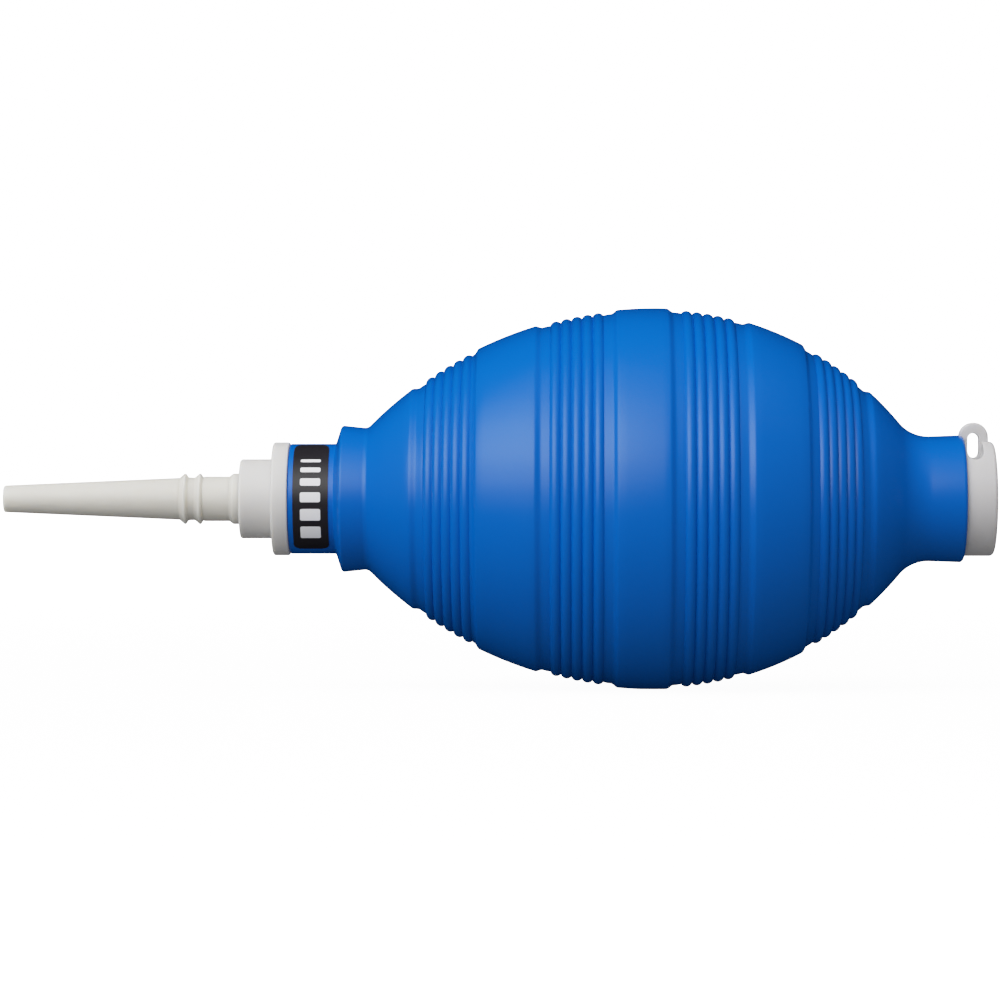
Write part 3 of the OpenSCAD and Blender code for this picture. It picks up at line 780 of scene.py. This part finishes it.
def make_world():
    """A white room: white to the camera, an even fill on the pieces, and left out of their gloss."""
    world = bpy.data.worlds.new("studio")
    bpy.context.scene.world = world
    world.use_nodes = True
    world.cycles_visibility.glossy = False
    tree = world.node_tree
    background = tree.nodes["Background"]
    background.inputs["Color"].default_value = (1, 1, 1, 1)
    path = add_node(tree, "ShaderNodeLightPath")
    strength = add_node(tree, "ShaderNodeMapRange", {"To Min": 0.4, "To Max": PAPER_WHITE})
    tree.links.new(path.outputs["Is Camera Ray"], strength.inputs["Value"])
    tree.links.new(strength.outputs["Result"], background.inputs["Strength"])


def falloff(tree, source, points):
    """How bright the softbox is across one of its sides: (place from 0 to 1, brightness) points."""
    ramp = add_node(tree, "ShaderNodeValToRGB")
    ramp.color_ramp.interpolation = "EASE"
    stops = ramp.color_ramp.elements
    while len(stops) < len(points):
        stops.new(0.5)
    for stop, (place, value) in zip(stops, points):
        stop.position = place
        stop.color = (value, value, value, 1)
    tree.links.new(source, ramp.inputs["Fac"])
    return ramp.outputs["Color"]


def make_softbox(name, azimuth, elevation, distance, size, watts, across, upwards):
    """A rectangular area light. Azimuth 0 is on the camera's side, and it grows towards +X."""
    az, el = math.radians(azimuth), math.radians(elevation)
    towards = Vector((math.sin(az) * math.cos(el), -math.cos(az) * math.cos(el), math.sin(el)))
    data = bpy.data.lights.new(name, "AREA")
    data.shape = "RECTANGLE"
    data.size, data.size_y = size
    data.energy = watts
    data.use_nodes = True
    tree = data.node_tree
    place = add_node(tree, "ShaderNodeNewGeometry")
    parts = add_node(tree, "ShaderNodeSeparateXYZ")
    tree.links.new(place.outputs["Parametric"], parts.inputs[0])
    both = add_node(tree, "ShaderNodeMath", operation="MULTIPLY")
    tree.links.new(falloff(tree, parts.outputs["X"], across), both.inputs[0])
    tree.links.new(falloff(tree, parts.outputs["Y"], upwards), both.inputs[1])
    tree.links.new(both.outputs[0], tree.nodes["Emission"].inputs["Strength"])
    lamp = bpy.data.objects.new(name, data)
    lamp.location = Vector((0, 0, AXIS_Z)) + towards * distance
    lamp.rotation_euler = towards.to_track_quat("Z", "Y").to_euler()
    bpy.context.scene.collection.objects.link(lamp)
    return lamp


def make_camera():
    """A long lens level with the tool's axis, a little behind the middle of its length."""
    camera = bpy.data.objects.new("camera", bpy.data.cameras.new("camera"))
    distance, field = 773 * MM, 184 * MM
    aim = Vector((0.43 * MM, 0, AXIS_Z - 0.22 * MM))
    camera.location = Vector((14.2 * MM, -distance, AXIS_Z))
    camera.rotation_euler = (aim - camera.location).to_track_quat("-Z", "Y").to_euler()
    camera.data.sensor_width = 36
    camera.data.lens = 36 * distance / field
    camera.data.clip_start = 0.01
    bpy.context.scene.collection.objects.link(camera)
    bpy.context.scene.camera = camera


make_camera()
make_floor()
make_world()
EVEN = ((0.0, 1.0), (1.0, 1.0))
make_softbox("key_softbox", -36, 40, 0.9, (2.8, 1.8), 55,
             across=((0.26, 0.0), (0.36, 0.8), (0.45, 1.0), (0.55, 1.0), (0.75, 0.38), (0.81, 0.1),
                     (0.9, 0.0)),
             upwards=((0.0, 0.08), (0.1, 0.17), (0.26, 0.62), (0.4, 1.0), (0.52, 0.86), (0.64, 0.49),
                      (0.77, 0.19), (0.92, 0.08)))
broad_fill = make_softbox("broad_fill", -45, 38, 0.9, (2.4, 1.4), 5.5, across=EVEN, upwards=EVEN)
broad_fill.visible_glossy = False
overhead = make_softbox("overhead_fill", 10, 72, 0.9, (1.2, 0.8), 3.5, across=EVEN, upwards=EVEN)
overhead.visible_glossy = False
set_tones()
